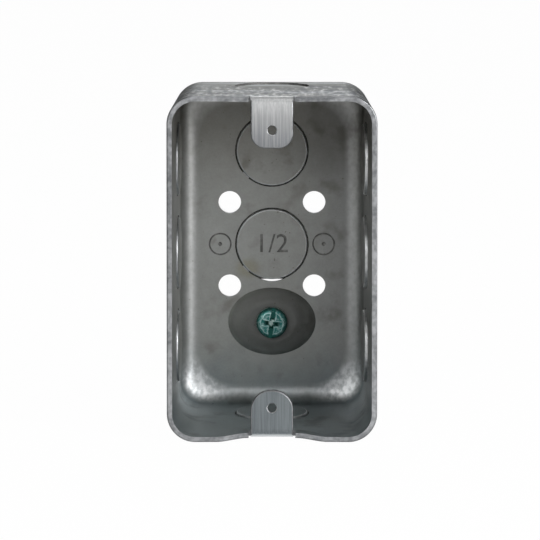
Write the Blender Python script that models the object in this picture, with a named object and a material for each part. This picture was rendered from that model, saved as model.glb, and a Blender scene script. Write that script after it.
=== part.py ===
"""Handy box: a drawn steel utility box with knockouts, device ears and a green ground screw.

The box stands as it hangs on a wall: its open front faces -Y, its back lies against the wall
at +Y, +X is to the right and +Z is up. The origin is the middle of its lower edge.
"""

import math

import bmesh
import bpy
from mathutils import Matrix, Vector

MM = 0.001

# Drawn shell
FRONT_WIDTH = 62.6 * MM
FRONT_HEIGHT = 103.9 * MM
DEPTH = 54.0 * MM
SHEET = 1.6 * MM
DRAFT = math.radians(2.5)
CORNER_RADIUS = 8.5 * MM
FLAT_CORNER_RADIUS = 7.4 * MM
BACK_BEND_INNER = 5.0 * MM
CORNER_STEPS = 8
BEND_STEPS = 6

# Device ears, folded in from the two end walls
EAR_WIDTH = 12.7 * MM
EAR_HOLE_SPACING = 83.34 * MM
EAR_HOLE_DIAMETER = 2.9 * MM
EAR_TIP_BEYOND_HOLE = 5.4 * MM
EAR_FOLD_INNER = 1.0 * MM
UPPER_EAR_TIP_RADIUS = 4.4 * MM
LOWER_EAR_TIP_RADIUS = 6.0 * MM
EAR_NOTCH_WIDTH = 0.6 * MM
EAR_NOTCH_DEPTH = 3.6 * MM
EAR_TRIM = 0.25 * MM
EAR_FOLD_STEPS = 6
EAR_TIP_STEPS = 10

# The end walls are set in behind the ears, the lower one more, so that a cover lies flat on the rim
UPPER_DISH_INSET = 0.15 * MM
LOWER_DISH_INSET = 1.25 * MM
DISH_CORNER_GAP = 6.85 * MM
DISH_BLEND_DEPTH = 10.0 * MM
DISH_STEPS = 5

# Knockouts: sheared discs, pushed in a little and held by one tie each
KNOCKOUT_DIAMETER = 22.2 * MM
KNOCKOUT_SLIT = 0.3 * MM
KNOCKOUT_PUSH = 0.6 * MM
KNOCKOUT_FROM_BACK = 18.5 * MM
SIDE_KNOCKOUT_PITCH = 0.2714 * FRONT_HEIGHT
BACK_KNOCKOUT_RISE = 0.2743 * FRONT_HEIGHT
TIE_WIDTH = 2.4 * MM
TIE_GRIP = 0.5 * MM
TIE_SKIN = 0.1 * MM
TIE_ANGLE = math.radians(224)
KNOCKOUT_SEGMENTS = 40

# Mounting holes in the back
MOUNT_HOLE_DIAMETER = 6.8 * MM
MOUNT_HOLE_PITCH = 25.4 * MM
MOUNT_HOLE_SEGMENTS = 28

# Raised pad under the ground screw
PAD_WIDTH = 25.4 * MM
PAD_HEIGHT = 19.2 * MM
PAD_TOP_WIDTH = 13.6 * MM
PAD_TOP_HEIGHT = 10.4 * MM
PAD_RISE = 4.8 * MM
PAD_BELOW_CENTRE = 23.1 * MM
PAD_FOOT_DROP = 0.5 * MM
PAD_SEGMENTS = 48
PAD_STEPS = 5

# Ground screw, 10-32 size, with a combined slot and cross recess
SCREW_SHANK_DIAMETER = 4.2 * MM
SCREW_SHANK_LENGTH = 6.2 * MM
SCREW_TIP_CHAMFER = 0.7 * MM
SCREW_HEAD_DIAMETER = 9.4 * MM
SCREW_HEAD_HEIGHT = 2.9 * MM
SCREW_HEAD_SIDE = 0.9 * MM
SCREW_HEAD_SHOULDER = 1.6 * MM
SCREW_HEAD_CROWN = 0.3 * MM
SCREW_SLOT_WIDTH = 1.3 * MM
SCREW_SLOT_DEPTH = 1.2 * MM
SCREW_RECESS_SPAN = 4.6 * MM
SCREW_RECESS_FOOT = 1.6 * MM
SCREW_RECESS_WIDTH = 1.2 * MM
SCREW_RECESS_DEPTH = 2.2 * MM
SCREW_DRIVE_TURN = math.radians(8)
SCREW_HOLE_CLEARANCE = 0.3 * MM
SCREW_SEAT_CLEARANCE = 0.3 * MM
SCREW_SEGMENTS = 36
SHOULDER_STEPS = 5
CROWN_SHARES = (0.7, 0.4)

# Edges sharper than this stay crisp when a piece is shaded smooth
SHARP_ANGLE = math.radians(32)

# How far cutters reach past the metal that they cut
OVERSHOOT = 2.0 * MM

# Places worked out from the sizes above
CENTRE_Z = FRONT_HEIGHT / 2
FRONT_Y = -DEPTH / 2
BACK_Y = DEPTH / 2
BACK_BEND_OUTER = BACK_BEND_INNER + SHEET
BEND_DEPTH = DEPTH - BACK_BEND_OUTER
CORNER_EASING = FLAT_CORNER_RADIUS + BACK_BEND_OUTER - CORNER_RADIUS
EAR_FOLD_OUTER = EAR_FOLD_INNER + SHEET / math.cos(DRAFT)
RIM_FLAT_HALF = FRONT_WIDTH / 2 - CORNER_RADIUS
DISH_BLEND_WIDTH = RIM_FLAT_HALF - EAR_WIDTH / 2 - EAR_NOTCH_WIDTH - DISH_CORNER_GAP
KNOCKOUT_DEPTH = DEPTH - KNOCKOUT_FROM_BACK
PAD_Z = CENTRE_Z - PAD_BELOW_CENTRE
PAD_TOP_Y = BACK_Y - SHEET - PAD_RISE
SCREW_HOLE_DIAMETER = SCREW_SHANK_DIAMETER + 2 * SCREW_HOLE_CLEARANCE


def clear_scene():
    """Removes every object that the file holds."""
    for item in list(bpy.data.objects):
        bpy.data.objects.remove(item, do_unlink=True)


def make_material(name, colour, metallic, roughness):
    """Makes a plain Principled material."""
    material = bpy.data.materials.new(name)
    material.use_nodes = True
    shader = material.node_tree.nodes["Principled BSDF"]
    shader.inputs["Base Color"].default_value = (*colour, 1.0)
    shader.inputs["Metallic"].default_value = metallic
    shader.inputs["Roughness"].default_value = roughness
    return material


def make_object(name, bm, material=None):
    """Turns a bmesh into an object that is shaded smooth, apart from its sharp edges."""
    bmesh.ops.recalc_face_normals(bm, faces=bm.faces)
    mesh = bpy.data.meshes.new(name)
    bm.to_mesh(mesh)
    bm.free()
    mesh.shade_smooth()
    mesh.set_sharp_from_angle(angle=SHARP_ANGLE)
    item = bpy.data.objects.new(name, mesh)
    if material is not None:
        mesh.materials.append(material)
    bpy.context.scene.collection.objects.link(item)
    return item


def combine(target, bm, name, operation):
    """Adds or cuts a hidden helper shape with a Boolean modifier on the target."""
    helper = make_object(name, bm)
    helper.hide_render = True
    helper.display_type = "WIRE"
    helper.parent = target
    modifier = target.modifiers.new(name, "BOOLEAN")
    modifier.operation = operation
    modifier.solver = "EXACT"
    modifier.object = helper


def blend(distance, start, width):
    """Falls smoothly from 1 at the start to 0 one width further on."""
    share = min(max((distance - start) / width, 0.0), 1.0)
    return 1.0 - share * share * (3.0 - 2.0 * share)


# Shell


def ear_blank_half():
    """Half the width of the ear before its sides are trimmed."""
    return EAR_WIDTH / 2 + EAR_TRIM


def dish_columns(flat_half):
    """Places across an end wall, from the middle out, where it has a line of points.

    They draw together with the wall's flat part as its corners grow.
    """
    start = EAR_WIDTH / 2 + EAR_NOTCH_WIDTH
    steps = [start + DISH_BLEND_WIDTH * step / DISH_STEPS for step in range(DISH_STEPS + 1)]
    return [column * flat_half / RIM_FLAT_HALF for column in [ear_blank_half(), *steps]]


def dish_inset(x, depth, side):
    """How far the end wall of a side, above or below, is set in at a place on it."""
    across = blend(abs(x), EAR_WIDTH / 2 + EAR_NOTCH_WIDTH, DISH_BLEND_WIDTH)
    inset = UPPER_DISH_INSET if side > 0 else LOWER_DISH_INSET
    return inset * across * blend(depth, EAR_NOTCH_DEPTH, DISH_BLEND_DEPTH)


def wall_ring(depth, skin):
    """Depth, draft, offset and easing of the wall at a depth behind the rim, a skin below its outside."""
    return depth, depth * math.tan(DRAFT), skin / math.cos(DRAFT), 0.0


def bend_ring(angle, radius):
    """Depth, draft, offset and easing of the back bend, from the wall's tangent to the flat back.

    The easing widens the bend in the corners, so that the flat back keeps well rounded corners.
    """
    depth = BEND_DEPTH + radius * math.sin(angle)
    offset = BACK_BEND_OUTER / math.cos(DRAFT) - radius * math.cos(angle)
    return depth, BEND_DEPTH * math.tan(DRAFT), offset, CORNER_EASING * (1 - math.cos(angle))


def ring_points(depth, draft, offset, easing):
    """One rounded rectangle of the shell, with the dish of its end walls."""
    half_x = FRONT_WIDTH / 2 - draft - offset
    half_z = FRONT_HEIGHT / 2 - draft - offset
    radius = CORNER_RADIUS - offset + easing
    columns = dish_columns(half_x - radius)
    points = []
    for quarter in range(4):
        side_x = 1 if quarter in (0, 3) else -1
        side_z = 1 if quarter in (0, 1) else -1
        for step in range(CORNER_STEPS + 1):
            angle = math.radians(90) * (quarter + step / CORNER_STEPS)
            x = side_x * (half_x - radius) + radius * math.cos(angle)
            z = side_z * (half_z - radius) + radius * math.sin(angle)
            points.append((x, z))
        if quarter % 2 == 0:
            across = [side_x * column for column in reversed(columns)]
            across += [-side_x * column for column in columns]
            points += [(x, side_z * (half_z - dish_inset(x, depth, side_z))) for x in across]
    return [Vector((x, FRONT_Y + depth, CENTRE_Z + z)) for x, z in points]


def add_ring(bm, ring):
    """Adds one ring of points to the shell's mesh."""
    return [bm.verts.new(point) for point in ring_points(*ring)]


def loft(bm, rings):
    """Joins each ring of points to the next with four-sided faces and closes both ends."""
    count = len(rings[0])
    for near, far in zip(rings, rings[1:]):
        for index in range(count):
            after = (index + 1) % count
            bm.faces.new((near[index], near[after], far[after], far[index]))
    bm.faces.new(rings[0])
    bm.faces.new(rings[-1])


def shell_skin(radius, skin):
    """Rings of one side of the sheet, from the rim to the flat back."""
    levels = [EAR_NOTCH_DEPTH + DISH_BLEND_DEPTH * step / DISH_STEPS for step in range(DISH_STEPS + 1)]
    rings = [wall_ring(depth, skin) for depth in [0.0, *levels]]
    for step in range(BEND_STEPS + 1):
        angle = DRAFT + (math.radians(90) - DRAFT) * step / BEND_STEPS
        rings.append(bend_ring(angle, radius))
    return rings


def fold_ears(bm):
    """Folds each ear in from the rim: its end of the wall is turned by 90 degrees, then drawn on."""
    half = ear_blank_half()
    reach = EAR_HOLE_SPACING / 2 - EAR_TIP_BEYOND_HOLE
    for side in (1, -1):
        root = [
            face for face in bm.faces
            if abs(face.calc_center_median().x) < half / 2
            and all(abs(vert.co.y - FRONT_Y) < SHEET / 10 for vert in face.verts)
            and side * (face.calc_center_median().z - CENTRE_Z) > 0
        ]
        corners = list(root[0].verts)
        drop = EAR_FOLD_OUTER * math.tan(DRAFT)
        bmesh.ops.translate(bm, verts=corners, vec=(0, EAR_FOLD_OUTER, -side * drop))
        inner = min(abs(vert.co.z - CENTRE_Z) for vert in corners)
        pivot = Vector((0, FRONT_Y + EAR_FOLD_OUTER, CENTRE_Z + side * (inner - EAR_FOLD_INNER)))
        folded = bmesh.ops.spin(
            bm, geom=root, cent=pivot, axis=(1, 0, 0), dvec=(0, 0, 0),
            angle=side * math.radians(90), steps=EAR_FOLD_STEPS, use_duplicate=False,
        )
        end = [item for item in folded["geom_last"] if isinstance(item, bmesh.types.BMFace)]
        tab = bmesh.ops.extrude_face_region(bm, geom=end)
        bmesh.ops.delete(bm, geom=root + end, context="FACES_ONLY")
        for vert in tab["geom"]:
            if isinstance(vert, bmesh.types.BMVert):
                vert.co.z = CENTRE_Z + side * (reach - EAR_TRIM)


def make_shell(material):
    """The drawn shell with its two folded ears, before its holes are cut."""
    outer = shell_skin(BACK_BEND_OUTER, 0.0)
    inner = shell_skin(BACK_BEND_INNER, SHEET)
    bm = bmesh.new()
    loft(bm, [add_ring(bm, ring) for ring in [*reversed(outer), *inner]])
    bmesh.ops.recalc_face_normals(bm, faces=bm.faces)
    fold_ears(bm)
    return make_object("box_body", bm, material)


# Ears


def ear_outline(side, tip_radius):
    """The ear's edge seen from the front, down one side, round the tip and up the other side."""
    half = EAR_WIDTH / 2
    tip = EAR_HOLE_SPACING / 2 - EAR_TIP_BEYOND_HOLE
    top = FRONT_HEIGHT / 2 + OVERSHOOT
    radius = min(tip_radius, half - EAR_TRIM)
    points = [(half, top)]
    for step in range(EAR_TIP_STEPS + 1):
        angle = math.radians(90) * step / EAR_TIP_STEPS
        x = half - radius + radius * math.cos(angle)
        points.append((x, tip + radius - radius * math.sin(angle)))
    points += [(-x, z) for x, z in reversed(points)]
    return [(x, CENTRE_Z + side * z) for x, z in points]


def trim_ears(body):
    """Cuts each ear to its outline, with a relief notch beside it in the wall."""
    for side, tip_radius, name in (
        (1, UPPER_EAR_TIP_RADIUS, "upper_ear_trim"),
        (-1, LOWER_EAR_TIP_RADIUS, "lower_ear_trim"),
    ):
        edge = ear_outline(side, tip_radius)
        outer = EAR_WIDTH / 2 + EAR_NOTCH_WIDTH
        below = CENTRE_Z + side * (EAR_HOLE_SPACING / 2 - EAR_TIP_BEYOND_HOLE - OVERSHOOT)
        corners = [(-outer, edge[0][1]), (-outer, below), (outer, below), (outer, edge[0][1])]
        bm = bmesh.new()
        y = FRONT_Y - OVERSHOOT
        face = bm.faces.new([bm.verts.new((x, y, z)) for x, z in [*edge, *corners]])
        blade = bmesh.ops.extrude_face_region(bm, geom=[face])
        verts = [item for item in blade["geom"] if isinstance(item, bmesh.types.BMVert)]
        bmesh.ops.translate(bm, verts=verts, vec=(0, OVERSHOOT + EAR_NOTCH_DEPTH, 0))
        combine(body, bm, name, "DIFFERENCE")


# Ground pad


def pad_dome(start_y, base_y, top_y):
    """The oval pad as a closed solid: straight from the start to its base, then domed to a flat top."""
    levels = [(0.0, start_y)]
    for step in range(PAD_STEPS + 1):
        share = step / PAD_STEPS
        levels.append((share, base_y + (top_y - base_y) * math.sin(math.radians(90) * share)))
    bm = bmesh.new()
    rings = []
    for share, y in levels:
        half_x = (PAD_WIDTH + (PAD_TOP_WIDTH - PAD_WIDTH) * share) / 2
        half_z = (PAD_HEIGHT + (PAD_TOP_HEIGHT - PAD_HEIGHT) * share) / 2
        middle_z = PAD_Z - PAD_FOOT_DROP * (1.0 - share)
        ring = []
        for index in range(PAD_SEGMENTS):
            angle = math.tau * index / PAD_SEGMENTS
            place = (half_x * math.cos(angle), y, middle_z + half_z * math.sin(angle))
            ring.append(bm.verts.new(place))
        rings.append(ring)
    loft(bm, rings)
    return bm


def press_pad(body):
    """Presses the pad into the box: its dome is added inside and the same form is taken out behind."""
    middle = BACK_Y - SHEET / 2
    combine(body, pad_dome(middle, BACK_Y - SHEET, PAD_TOP_Y), "pad_inside", "UNION")
    behind = pad_dome(BACK_Y + OVERSHOOT, BACK_Y, PAD_TOP_Y + SHEET)
    combine(body, behind, "pad_behind", "DIFFERENCE")


# Knockouts and holes


def wall_frame(place, inward, along):
    """Axes on a wall's outside: x along it, z into the box."""
    across = inward.cross(along)
    turn = Matrix((along, across, inward)).transposed().to_4x4()
    return Matrix.Translation(place) @ turn


def knockout_frames():
    """One frame for each knockout: two in the back, one in each end and three in each side."""
    lean = math.sin(DRAFT)
    stand = math.cos(DRAFT)
    taper = KNOCKOUT_DEPTH * math.tan(DRAFT)
    y = FRONT_Y + KNOCKOUT_DEPTH
    right = Vector((1, 0, 0))
    up = Vector((0, 0, 1))
    frames = []
    for rise in (0.0, BACK_KNOCKOUT_RISE):
        frames.append(wall_frame(Vector((0, BACK_Y, CENTRE_Z + rise)), Vector((0, -1, 0)), right))
    for side in (1, -1):
        end_z = CENTRE_Z + side * (FRONT_HEIGHT / 2 - taper)
        frames.append(wall_frame(Vector((0, y, end_z)), Vector((0, -lean, -side * stand)), right))
        side_x = side * (FRONT_WIDTH / 2 - taper)
        for row in (-1, 0, 1):
            place = Vector((side_x, y, CENTRE_Z + row * SIDE_KNOCKOUT_PITCH))
            frames.append(wall_frame(place, Vector((-side * stand, -lean, 0)), up))
    return frames


def add_disc(bm, frame, diameter, low, high, segments):
    """Adds a round solid between two heights of a frame."""
    centre = frame @ Matrix.Translation((0, 0, (low + high) / 2))
    bmesh.ops.create_cone(
        bm, cap_ends=True, segments=segments, radius1=diameter / 2, radius2=diameter / 2,
        depth=high - low, matrix=centre,
    )


def cut_holes(body):
    """Cuts every round hole: knockouts, mounting holes, the ground screw's hole and the ears' holes."""
    bm = bmesh.new()
    for frame in knockout_frames():
        add_disc(bm, frame, KNOCKOUT_DIAMETER, -OVERSHOOT, SHEET + OVERSHOOT, KNOCKOUT_SEGMENTS)
    inward = Vector((0, -1, 0))
    right = Vector((1, 0, 0))
    half = MOUNT_HOLE_PITCH / 2
    for x in (-half, half):
        for z in (CENTRE_Z - half, CENTRE_Z + half):
            frame = wall_frame(Vector((x, BACK_Y, z)), inward, right)
            add_disc(bm, frame, MOUNT_HOLE_DIAMETER, -OVERSHOOT, SHEET + OVERSHOOT, MOUNT_HOLE_SEGMENTS)
    pad = wall_frame(Vector((0, PAD_TOP_Y + SHEET, PAD_Z)), inward, right)
    add_disc(bm, pad, SCREW_HOLE_DIAMETER, -OVERSHOOT, SHEET + OVERSHOOT, MOUNT_HOLE_SEGMENTS)
    for side in (1, -1):
        ear = wall_frame(Vector((0, FRONT_Y + SHEET, CENTRE_Z + side * EAR_HOLE_SPACING / 2)), inward, right)
        add_disc(bm, ear, EAR_HOLE_DIAMETER, -OVERSHOOT, SHEET + OVERSHOOT, MOUNT_HOLE_SEGMENTS)
    combine(body, bm, "round_holes", "DIFFERENCE")


def set_knockouts(body):
    """Puts each knockout's disc back into its hole, pushed in a little, on its tie."""
    disc = KNOCKOUT_DIAMETER - 2 * KNOCKOUT_SLIT
    discs = bmesh.new()
    ties = bmesh.new()
    inner_end = disc / 2 - TIE_GRIP
    outer_end = KNOCKOUT_DIAMETER / 2 + TIE_GRIP
    low = KNOCKOUT_PUSH + TIE_SKIN
    high = SHEET - TIE_SKIN
    middle = Vector(((inner_end + outer_end) / 2, 0, (low + high) / 2))
    size = Matrix.Diagonal((outer_end - inner_end, TIE_WIDTH, high - low, 1))
    for frame in knockout_frames():
        add_disc(discs, frame, disc, KNOCKOUT_PUSH, SHEET + KNOCKOUT_PUSH, KNOCKOUT_SEGMENTS)
        place = frame @ Matrix.Rotation(TIE_ANGLE, 4, "Z") @ Matrix.Translation(middle) @ size
        bmesh.ops.create_cube(ties, size=1.0, matrix=place)
    combine(body, discs, "knockout_discs", "UNION")
    combine(body, ties, "knockout_ties", "UNION")


def make_box(material):
    """The whole drawn box."""
    body = make_shell(material)
    trim_ears(body)
    press_pad(body)
    cut_holes(body)
    set_knockouts(body)
    return body


# Ground screw


def screw_profile():
    """The turned outline of the screw from its tip to the middle of its head, as radius and height."""
    shank = SCREW_SHANK_DIAMETER / 2
    head = SCREW_HEAD_DIAMETER / 2
    top = head - SCREW_HEAD_SHOULDER
    rim = SCREW_HEAD_HEIGHT - SCREW_HEAD_CROWN
    points = [
        (shank - SCREW_TIP_CHAMFER, -SCREW_SHANK_LENGTH),
        (shank, SCREW_TIP_CHAMFER - SCREW_SHANK_LENGTH),
        (shank, 0.0),
        (head, 0.0),
    ]
    for step in range(SHOULDER_STEPS + 1):
        angle = math.radians(90) * step / SHOULDER_STEPS
        radius = head - SCREW_HEAD_SHOULDER * (1 - math.cos(angle))
        points.append((radius, SCREW_HEAD_SIDE + (rim - SCREW_HEAD_SIDE) * math.sin(angle)))
    for share in CROWN_SHARES:
        points.append((top * share, SCREW_HEAD_HEIGHT - SCREW_HEAD_CROWN * share * share))
    return points


def recess_wing(turn):
    """One tapered wing of the cross recess."""
    top = SCREW_HEAD_HEIGHT
    levels = [
        (SCREW_RECESS_FOOT, top - SCREW_RECESS_DEPTH),
        (SCREW_RECESS_SPAN, top - SCREW_HEAD_CROWN),
        (SCREW_RECESS_SPAN, top + OVERSHOOT),
    ]
    half_y = SCREW_RECESS_WIDTH / 2
    bm = bmesh.new()
    rings = []
    for span, z in levels:
        half_x = span / 2
        corners = ((-half_x, -half_y), (half_x, -half_y), (half_x, half_y), (-half_x, half_y))
        rings.append([bm.verts.new((x, y, z)) for x, y in corners])
    loft(bm, rings)
    bmesh.ops.rotate(bm, verts=bm.verts, cent=(0, 0, 0), matrix=Matrix.Rotation(turn, 3, "Z"))
    return bm


def make_ground_screw(material):
    """The ground screw in its tapped hole, with its head just clear of the pad."""
    bm = bmesh.new()
    rings = []
    for radius, z in screw_profile():
        turns = [math.tau * index / SCREW_SEGMENTS for index in range(SCREW_SEGMENTS)]
        rings.append([bm.verts.new((radius * math.cos(a), radius * math.sin(a), z)) for a in turns])
    loft(bm, rings)
    screw = make_object("ground_screw", bm, material)
    upright = math.radians(90) - SCREW_DRIVE_TURN
    slot = bmesh.new()
    bottom = SCREW_HEAD_HEIGHT - SCREW_SLOT_DEPTH
    reach = Matrix.Diagonal((SCREW_HEAD_DIAMETER + OVERSHOOT, SCREW_SLOT_WIDTH, SCREW_HEAD_HEIGHT, 1))
    lift = Matrix.Translation((0, 0, bottom + SCREW_HEAD_HEIGHT / 2))
    bmesh.ops.create_cube(slot, size=1.0, matrix=Matrix.Rotation(upright, 4, "Z") @ lift @ reach)
    combine(screw, slot, "drive_slot", "DIFFERENCE")
    combine(screw, recess_wing(upright), "recess_upright", "DIFFERENCE")
    combine(screw, recess_wing(-SCREW_DRIVE_TURN), "recess_level", "DIFFERENCE")
    screw.location = (0, PAD_TOP_Y - SCREW_SEAT_CLEARANCE, PAD_Z)
    screw.rotation_euler = (math.radians(90), 0, 0)
    return screw


def main():
    """Builds the box and its screw."""
    clear_scene()
    steel = make_material("galvanised_steel", (0.46, 0.47, 0.46), 0.9, 0.42)
    green = make_material("green_screw_finish", (0.03, 0.22, 0.18), 0.55, 0.35)
    body = make_box(steel)
    screw = make_ground_screw(green)
    screw.parent = body


main()
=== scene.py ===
"""Looks of the drawn steel handy box: its finished skin, its ground screw and the studio around them."""

import logging
import math
from dataclasses import dataclass, field
from enum import Enum
from typing import Any, Callable, Sequence

import bmesh
import bpy
from mathutils import Matrix, Vector


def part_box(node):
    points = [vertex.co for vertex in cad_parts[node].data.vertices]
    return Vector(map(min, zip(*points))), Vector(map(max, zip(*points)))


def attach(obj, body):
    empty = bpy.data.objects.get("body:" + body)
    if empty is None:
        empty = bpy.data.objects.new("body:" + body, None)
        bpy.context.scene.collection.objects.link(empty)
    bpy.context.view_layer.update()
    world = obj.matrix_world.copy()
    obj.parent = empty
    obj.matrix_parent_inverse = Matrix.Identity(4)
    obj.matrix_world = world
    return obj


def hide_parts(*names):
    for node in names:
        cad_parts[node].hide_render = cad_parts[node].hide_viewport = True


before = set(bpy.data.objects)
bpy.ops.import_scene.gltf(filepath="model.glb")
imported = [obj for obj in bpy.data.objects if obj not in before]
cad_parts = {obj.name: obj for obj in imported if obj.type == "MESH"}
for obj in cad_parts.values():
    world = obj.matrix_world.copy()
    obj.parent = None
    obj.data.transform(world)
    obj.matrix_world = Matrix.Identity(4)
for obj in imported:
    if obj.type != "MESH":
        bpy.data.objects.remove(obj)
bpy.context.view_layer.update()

LOG = logging.getLogger("handy_box")

MM = 0.001
RIGHT_ANGLE = math.radians(90)
SMOOTH_ANGLE = math.radians(35)
# How far two points that should agree may lie apart
TINY = 0.02 * MM
# The least cosine between a face and the direction that it is said to face
FACING = 0.9
THREAD_STEPS = 36
# Half the foot of a thread's ridge, as a share of its pitch
THREAD_FOOT = 0.42

TO_RIGHT = Vector((1, 0, 0))
TO_FRONT = Vector((0, -1, 0))
UP = Vector((0, 0, 1))

Item = bpy.types.Object
Material = bpy.types.Material
Point = tuple[float, float, float]
Tone = tuple[float, float, float]
Span = tuple[float, float]

WHITE: Tone = (1.0, 1.0, 1.0)


class Pick(Enum):
    """Kinds of mesh element that an edit-mode pick can take."""

    POINTS = "VERT"
    EDGES = "EDGE"
    FACES = "FACE"


class Cut(Enum):
    """Ways of combining a piece with a second solid."""

    ADD = "UNION"
    REMOVE = "DIFFERENCE"


class Side(Enum):
    """The finishes of the sheet, in the order of the body's material slots."""

    OUTSIDE = 0
    INSIDE = 1
    SHEARED = 2
    # The groove and mark finishes paint shade into slits and stamped lines.
    GROOVE = 3
    MARK = 4
    # Pale bare steel with a painted highlight, on the knockout discs' edges and the ear threads.
    TORN = 5
    ROLLED = 6


# Working at the bench: selection and the operators


def take_up(item: Item) -> None:
    """Makes one object the only selected one.

    Args:
        item: The object.
    """
    bpy.ops.object.select_all(action="DESELECT")
    item.select_set(True)
    bpy.context.view_layer.objects.active = item


def settle(item: Item) -> Item:
    """Moves an object's place, turn and size into its mesh.

    Args:
        item: The object.

    Returns:
        The same object.
    """
    take_up(item)
    bpy.ops.object.transform_apply(location=True, rotation=True, scale=True)
    return item


def adjust(target: Any, settings: dict[str, Any]) -> None:
    """Sets several settings of a modifier, a node or another thing."""
    for name, value in settings.items():
        setattr(target, name, value)


def apply_modifier(item: Item, kind: str, **settings: Any) -> None:
    """Adds a modifier with its settings and applies it.

    Args:
        item: The object.
        kind: Blender's name for the modifier.
        **settings: The modifier's own settings.
    """
    take_up(item)
    modifier = item.modifiers.new(kind.title(), kind)
    adjust(modifier, settings)
    bpy.ops.object.modifier_apply(modifier=modifier.name)


def combine(item: Item, tool: Item, how: Cut) -> None:
    """Adds a second solid to an object or takes it away, and deletes the second solid."""
    apply_modifier(item, "BOOLEAN", operation=how.value, solver="EXACT", object=tool)
    bpy.data.objects.remove(tool, do_unlink=True)


def join(items: Sequence[Item]) -> Item:
    """Joins objects into the first one.

    Args:
        items: The objects.

    Returns:
        The first object, which now holds them all.
    """
    take_up(items[0])
    for item in items[1:]:
        item.select_set(True)
    bpy.ops.object.join()
    return items[0]


def paint(item: Item, materials: Sequence[Material], slot: int = 0) -> Item:
    """Gives an object its material slots and shows one of them all over.

    Args:
        item: The object.
        materials: The materials, in the order of the slots.
        slot: The slot that its faces show.

    Returns:
        The same object.
    """
    item.data.materials.clear()
    for material in materials:
        item.data.materials.append(material)
    item.data.polygons.foreach_set("material_index", [slot] * len(item.data.polygons))
    return item


def ease_edges(item: Item, width: float, angle: float) -> None:
    """Takes the sharpness off every edge that turns by more than an angle."""
    limits = {"limit_method": "ANGLE", "angle_limit": angle, "use_clamp_overlap": True}
    apply_modifier(item, "BEVEL", width=width, segments=2, **limits)


def smooth(item: Item) -> None:
    """Shades an object smooth, but for its sharp edges, and keeps its broad faces flat.

    Args:
        item: The object.
    """
    take_up(item)
    bpy.ops.object.shade_smooth_by_angle(angle=SMOOTH_ANGLE)
    apply_modifier(item, "WEIGHTED_NORMAL", keep_sharp=True, weight=60)


@dataclass(frozen=True)
class Ring:
    """One ring of a drawn form, seen from the front."""

    half_x: float
    half_z: float
    forward: float
    drop: float = 0.0

    def middle(self, centre: Vector) -> Vector:
        """Gives the ring's middle from the point that its place forward and its drop are counted from."""
        return centre - Vector((0, self.forward, self.drop))


class Bench:
    """A mesh object held in edit mode, whose points, edges and faces are picked in code."""

    def __init__(self, item: Item) -> None:
        """Remembers the object."""
        self.item = item

    def __enter__(self) -> "Bench":
        """Selects only this object and enters edit mode.

        Returns:
            The bench itself.
        """
        take_up(self.item)
        bpy.ops.object.mode_set(mode="EDIT")
        return self

    def __exit__(self, *problem: Any) -> None:
        """Goes back to object mode."""
        bpy.ops.object.mode_set(mode="OBJECT")

    def pick(self, kind: Pick, test: Callable[[Any], bool]) -> None:
        """Selects the elements that pass a test, and nothing else.

        Args:
            kind: The kind of element.
            test: Says whether one element is wanted.
        """
        bpy.ops.mesh.select_mode(type=kind.value)
        bpy.ops.mesh.select_all(action="DESELECT")
        mesh = bmesh.from_edit_mesh(self.item.data)
        pool = {Pick.POINTS: mesh.verts, Pick.EDGES: mesh.edges, Pick.FACES: mesh.faces}[kind]
        for element in [element for element in pool if test(element)]:
            element.select_set(True)
        mesh.select_flush_mode()
        bmesh.update_edit_mesh(self.item.data)

    def pick_all(self) -> None:
        """Selects everything."""
        bpy.ops.mesh.select_all(action="SELECT")

    def first_picked(self) -> Vector:
        """Gives the place of the first selected point."""
        mesh = bmesh.from_edit_mesh(self.item.data)
        return next(point.co.copy() for point in mesh.verts if point.select)

    def cut(self, place: Point, normal: Point, trim: bool = False) -> None:
        """Cuts what is selected with a plane; a trim clears the normal's side and closes the cut."""
        bpy.ops.mesh.bisect(plane_co=place, plane_no=normal, clear_outer=trim, use_fill=trim)

    def move(self, step: Point, **settings: Any) -> None:
        """Moves what is selected."""
        bpy.ops.transform.translate(value=step, **settings)

    def draw_out(self, step: Point) -> None:
        """Extrudes what is selected by a step."""
        bpy.ops.mesh.extrude_region_move(TRANSFORM_OT_translate={"value": step})

    def turn(self, steps: int, angle: float, pivot: Vector) -> None:
        """Spins what is selected about a line across the box."""
        bpy.ops.mesh.spin(steps=steps, angle=angle, center=pivot, axis=(1, 0, 0))

    def scale(self, value: Point, about: Point) -> None:
        """Scales what is selected about a point."""
        bpy.ops.transform.resize(value=value, center_override=about)

    def round_off(self, width: float, segments: int, material: int = -1, affect: str = "EDGES") -> None:
        """Rounds the selected edges or corners, and gives the rounding a material slot if one is named."""
        rounding = {"profile": 0.5, "affect": affect, "clamp_overlap": False, "material": material}
        bpy.ops.mesh.bevel(offset=width, segments=segments, **rounding)

    def even_normals(self) -> None:
        """Points every face outwards."""
        self.pick_all()
        bpy.ops.mesh.normals_make_consistent(inside=False)

    def grow_rings(self, centre: Vector, rings: Sequence[Ring], count: int) -> None:
        """Draws a ring of points forward through a list of rings, and closes its front end.

        Args:
            centre: The point that the rings' places are counted from.
            rings: The rings, from the back.
            count: How many points a ring has.
        """
        first = rings[0]
        start = first.middle(centre)
        bpy.ops.mesh.select_mode(type=Pick.EDGES.value)
        stand = {"location": start, "rotation": (RIGHT_ANGLE, 0, 0)}
        bpy.ops.mesh.primitive_circle_add(vertices=count, radius=first.half_x, fill_type="NOTHING", **stand)
        self.scale((1, 1, first.half_z / first.half_x), start)
        for near, far in zip(rings, rings[1:]):
            self.draw_out(far.middle(centre) - near.middle(centre))
            self.scale((far.half_x / near.half_x, 1, far.half_z / near.half_z), far.middle(centre))
        bpy.ops.mesh.edge_face_add()


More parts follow.
